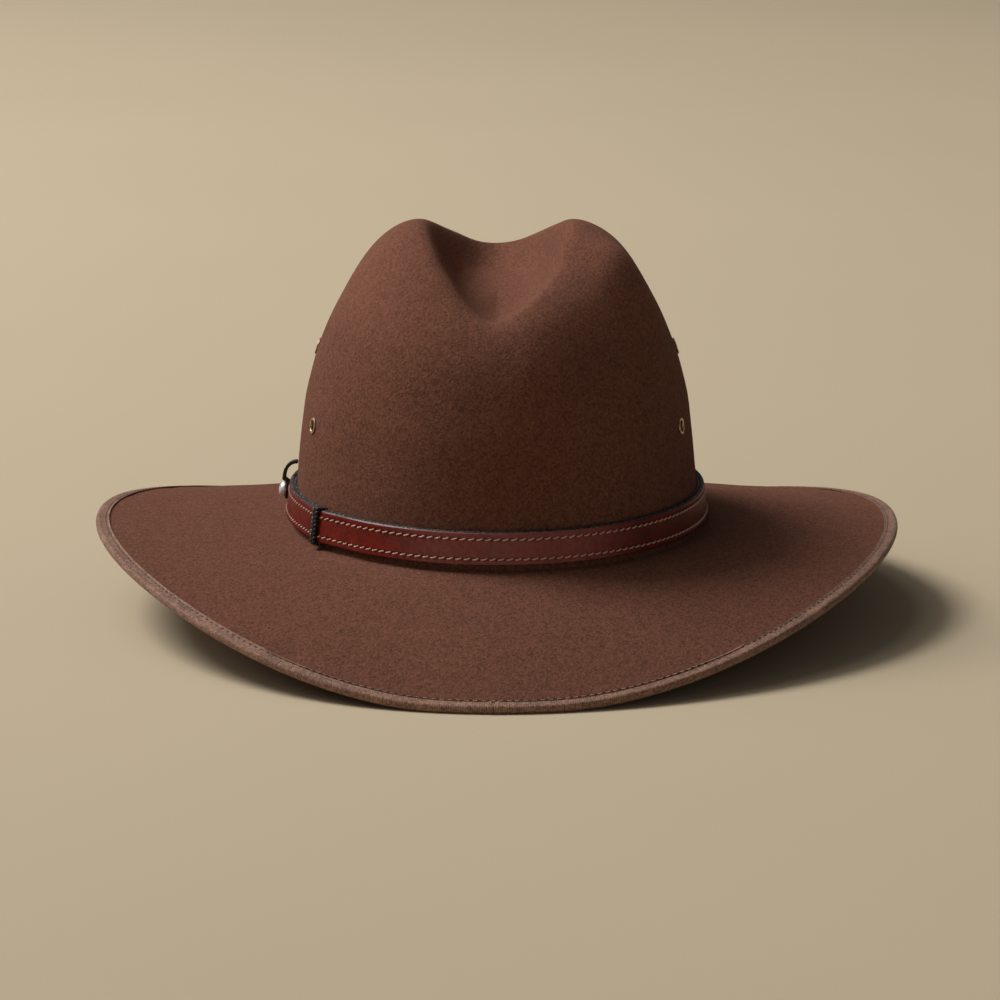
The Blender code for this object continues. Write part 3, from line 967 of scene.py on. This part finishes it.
felt_finish = Finish("brown_felt")
patch = felt_finish.noise(34.0 * MM, 2.0, 0.6)
tuft = felt_finish.noise(4.5 * MM, 3.0, 0.6)
nap = felt_finish.grains(0.85 * MM)
fibre = felt_finish.grains(0.46 * MM)
# Painted light: the felt is made lighter towards the top of the crown, for the glow of its
# backlit nap.
painted_top_light = felt_finish.mask(felt_finish.along(2), TOP_LIGHT_START, TOP_LIGHT_END)
tone = patch * 0.10 + tuft * 0.12 + nap * 0.46 + fibre * 0.32 + painted_top_light * 0.10
felt_colour = felt_finish.mix(
    felt_finish.node("ShaderNodeMapRange", None, [tone, 0.10, 1.10, 0.0, 1.0]),
    (0.054, 0.022, 0.0138, 1.0), (0.303, 0.122, 0.0765, 1.0))
felt_material = felt_finish.wear(
    Base_Color=felt_colour, Roughness=0.95, Specular_IOR_Level=0.12,
    Sheen_Weight=0.05, Sheen_Roughness=0.5, Sheen_Tint=(0.80, 0.50, 0.36, 1.0),
    Normal=felt_finish.bump(tuft * 0.5 + felt_finish.noise(1.0 * MM, 3.0, 0.7), 0.45 * MM))
paint(felt, felt_material)
seat(felt, ["felt_body"])

# %% [markdown]
# ## Ribbed ribbon
# The ribbon's ribs run across it, so they repeat along the edge of the brim. The measuring
# map gives the length along the edge, and a sine of that length makes even ribs.

# %% Ribbon finish
RIB_PITCH = 0.85 * MM

ribbon_finish = Finish("brown_ribbon")
measured = ribbon_finish.node("ShaderNodeUVMap", {"uv_map": "along_edge"})
run = ribbon_finish.along(0, measured)
rib = ribbon_finish.node("ShaderNodeMath", {"operation": "SINE"},
                         [run * (2.0 * math.pi / RIB_PITCH)])
rib = rib * 0.5 + 0.5
ribbon_wear = ribbon_finish.noise(9.0 * MM, 3.0, 0.6)
ribbon_grain = ribbon_finish.grains(0.75 * MM)
ribbon_tone = ribbon_wear * 0.40 + ribbon_grain * 0.45 + rib * 0.15
ribbon_colour = ribbon_finish.mix(
    ribbon_finish.mask(ribbon_tone, 0.25, 0.75),
    (0.130, 0.066, 0.045, 1.0), (0.370, 0.198, 0.130, 1.0))
ribbon_material = ribbon_finish.wear(
    Base_Color=ribbon_colour, Roughness=0.72, Specular_IOR_Level=0.35,
    Sheen_Weight=0.12, Sheen_Roughness=0.4,
    Normal=ribbon_finish.bump(rib * 0.4 + ribbon_grain * 0.8, 0.15 * MM))
paint(ribbon, ribbon_material)
seat(ribbon, ["brim_binding"])

# %% Brown thread for the ribbon
dark_thread = Finish("dark_thread")
dark_thread_material = dark_thread.wear(
    Base_Color=dark_thread.mix(dark_thread.noise(2.0 * MM), (0.016, 0.008, 0.006, 1.0),
                               (0.05, 0.026, 0.019, 1.0)),
    Roughness=0.8, Sheen_Weight=0.1)
paint(ribbon_stitches, dark_thread_material)
seat(ribbon_stitches)

# %% [markdown]
# ## Burgundy leather
# Smooth leather has a fine pebble, a low gloss that varies with handling, and painted shade
# in its channels. At the middle of the back a paler, greyer red is painted in as a reflection.
# The cut edges are painted dark, with pale flecks as painted glints, and height on the strap
# decides where they start.

# %% Leather finish of the strap
REFLECTION_MIDDLE = 6.0 * MM
REFLECTION_FULL = 24.0 * MM
REFLECTION_NONE = 56.0 * MM
PAINT_FULL = 0.12 * MM
PAINT_NONE = 0.38 * MM

leather = Finish("burgundy_leather")
height = leather.along(2)
pebble = leather.cells(0.75 * MM)
crinkle = leather.noise(2.2 * MM, 4.0, 0.6)
dye = leather.noise(16.0 * MM, 3.0, 0.55)
tone = leather.mask(dye * 0.6 + crinkle * 0.4, 0.3, 0.72)
body = leather.mix(tone, (0.075, 0.0045, 0.0025, 1.0), (0.210, 0.016, 0.008, 1.0))


def close_to(level, reach):
    """1 on a level of the strap, fading to 0 at the given reach."""
    return leather.mask(leather.size_of(height - level), 0.0, reach, 1.0, 0.0)


# Painted reflection: a paler, greyer red at the middle of the back stands in for light
# mirrored by the strap.
off_reflection = leather.size_of(leather.along(0) - REFLECTION_MIDDLE)
painted_reflection = leather.mask(off_reflection, REFLECTION_FULL, REFLECTION_NONE, 0.56, 0.0)
body = leather.mix(painted_reflection * (crinkle * 1.2 + 0.4), body, (0.390, 0.125, 0.110, 1.0))
# Painted shade: the leather is darkened along the two sewn channels.
channel_shade = close_to(UPPER_ROW, 1.0 * MM) + close_to(LOWER_ROW, 1.0 * MM)
body = leather.mix(channel_shade * 0.55, body, (0.024, 0.003, 0.002, 1.0))
painted_top = leather.mask(height, STRAP_TOP - PAINT_NONE, STRAP_TOP - PAINT_FULL)
painted_low = leather.mask(height, STRAP_LOW + PAINT_FULL, STRAP_LOW + PAINT_NONE, 1.0, 0.0)
edge_paint = painted_top + painted_low
# The edge paint is dark, and its pale flecks are painted glints where the edge catches the
# light.
painted_glints = leather.mask(leather.noise(1.0 * MM, 3.0, 0.7), 0.48, 0.64)
edge_paint_and_glint_colour = leather.mix(painted_glints, (0.014, 0.014, 0.016, 1.0), (0.200, 0.190, 0.186, 1.0))
body = leather.mix(edge_paint, body, edge_paint_and_glint_colour)
leather_material = leather.wear(
    Base_Color=body, Roughness=leather.mask(crinkle, 0.3, 0.7, 0.40, 0.56) + edge_paint * 0.1,
    Specular_IOR_Level=0.12, Coat_Weight=0.2, Coat_Roughness=0.25,
    Normal=leather.bump(pebble * 0.5 + crinkle * 0.6, 0.14 * MM))
paint(strap, leather_material)
seat(strap, ["hat_band"])

# %% Cream thread
cream = Finish("cream_thread")
cream_material = cream.wear(
    Base_Color=cream.mix(cream.noise(5.0 * MM, 3.0), (0.42, 0.22, 0.165, 1.0),
                         (0.84, 0.53, 0.41, 1.0)),
    Roughness=0.7, Sheen_Weight=0.1,
    Normal=cream.bump(cream.noise(0.25 * MM), 0.05 * MM))
for seam in strap_seams:
    paint(seam, cream_material)
    seat(seam)

# %% [markdown]
# ## Black laces, dark leather and metal
# The laces are waxed and shine in small glints. The little strap is plain dark leather. The
# stud is polished, with fine scratches, and the eyelets are bronze that has dulled.

# %% Lace and little strap finishes
black = Finish("black_leather")
black_grain = black.noise(0.8 * MM, 3.0, 0.6)
paint(loop, black.wear(
    Base_Color=black.mix(black_grain, (0.004, 0.004, 0.004, 1.0), (0.034, 0.032, 0.032, 1.0)),
    Roughness=black.mask(black_grain, 0.3, 0.7, 0.22, 0.42), Specular_IOR_Level=0.6,
    Normal=black.bump(black_grain, 0.08 * MM)))
seat(loop, ["band_keeper"])

dark = Finish("dark_leather")
dark_grain = dark.noise(1.1 * MM, 4.0, 0.6)
paint(tab, dark.wear(
    Base_Color=dark.mix(dark_grain, (0.012, 0.006, 0.004, 1.0), (0.040, 0.021, 0.013, 1.0)),
    Roughness=dark.mask(dark_grain, 0.3, 0.7, 0.42, 0.60),
    Normal=dark.bump(dark_grain, 0.10 * MM)))
seat(tab, ["stud_tab"])

# %% Metal finishes
silver = Finish("silver_metal")
scratches = silver.noise(1.0, 3.0, 0.6, place=silver.stretched((900.0, 2600.0, 900.0)))
tarnish = silver.noise(2.0 * MM, 3.0, 0.6)
paint(stud, silver.wear(
    Base_Color=silver.mix(silver.mask(tarnish, 0.45, 0.8), (0.92, 0.97, 1.0, 1.0),
                          (0.70, 0.74, 0.76, 1.0)),
    Metallic=0.55, Roughness=silver.mask(scratches, 0.3, 0.7, 0.34, 0.48),
    Normal=silver.bump(scratches, 0.01 * MM)))
seat(stud, ["stud"])

bronze = Finish("bronze_metal")
patina = bronze.noise(1.6 * MM, 4.0, 0.6)
bronze_material = bronze.wear(
    Base_Color=bronze.mix(bronze.mask(patina, 0.35, 0.75), (0.66, 0.46, 0.31, 1.0),
                          (0.17, 0.095, 0.06, 1.0)),
    Metallic=1.0, Roughness=bronze.mask(patina, 0.3, 0.7, 0.22, 0.48),
    Normal=bronze.bump(patina, 0.02 * MM))
for eyelet, node in eyelets:
    paint(eyelet, bronze_material)
    seat(eyelet, [node])

# %% [markdown]
# ## The studio
# The hat stands on a wide pale floor. A soft light comes from the upper left, and a much
# wider one in the same place softens the edges of its shadows. A faint card in front lights
# the band, the world fills what is left, and the camera looks down a little at the back.

# %% Floor
bpy.ops.mesh.primitive_plane_add(size=12.0)
floor = bpy.context.object
floor.name = "studio_floor"
floor_finish = Finish("pale_floor")
paint(floor, floor_finish.wear(
    Base_Color=floor_finish.mix(floor_finish.noise(0.4, 2.0), (0.525, 0.436, 0.307, 1.0),
                                (0.555, 0.462, 0.327, 1.0)),
    Roughness=0.9, Specular_IOR_Level=0.1))

# %% Lights
KEY_PLACE = Vector((-1.42, 0.60, 1.88)).normalized() * 4.5
KEY_AIM = (0.0, 0.9, 0.0)
KEY_COLOUR = (1.0, 0.98, 0.95)


def soft_light(name, place, target, size, power, colour):
    bpy.ops.object.light_add(type="AREA", location=place)
    light = bpy.context.object
    light.name = name
    light.rotation_euler = (Vector(target) - Vector(place)).to_track_quat("-Z", "Y").to_euler()
    light.data.shape = "DISK"
    light.data.size = size
    light.data.energy = power
    light.data.color = colour


soft_light("key_light", KEY_PLACE, KEY_AIM, 1.9, 172.0, KEY_COLOUR)
soft_light("key_wrap", KEY_PLACE, KEY_AIM, 5.5, 80.0, KEY_COLOUR)
soft_light("front_card", (0.1, -3.0, 0.7), (0.0, 0.0, 0.05), 1.3, 3.2, (1.0, 0.97, 0.95))
world = bpy.data.worlds.new("studio_world")
bpy.context.scene.world = world
world.use_nodes = True
sky = world.node_tree.nodes["Background"]
sky.inputs["Color"].default_value = (1.0, 0.96, 0.90, 1.0)
sky.inputs["Strength"].default_value = 0.09
bpy.context.scene.view_settings.view_transform = "Standard"

# %% Camera
CAMERA_DISTANCE = 1.8
CAMERA_RISE = math.radians(12.0)
CAMERA_AIM = Vector((0.0013, 0.0, 0.0424))
FRAME_WIDTH = 0.418
SENSOR = 36.0

camera_way = Vector((0.0, -math.cos(CAMERA_RISE), math.sin(CAMERA_RISE)))
bpy.ops.object.camera_add(location=CAMERA_AIM + camera_way * CAMERA_DISTANCE,
                          rotation=(math.pi / 2.0 - CAMERA_RISE, 0.0, 0.0))
camera = bpy.context.object
camera.data.sensor_width = SENSOR
camera.data.lens = SENSOR * CAMERA_DISTANCE / FRAME_WIDTH
bpy.context.scene.camera = camera
print("lens, mm:", round(camera.data.lens, 1))
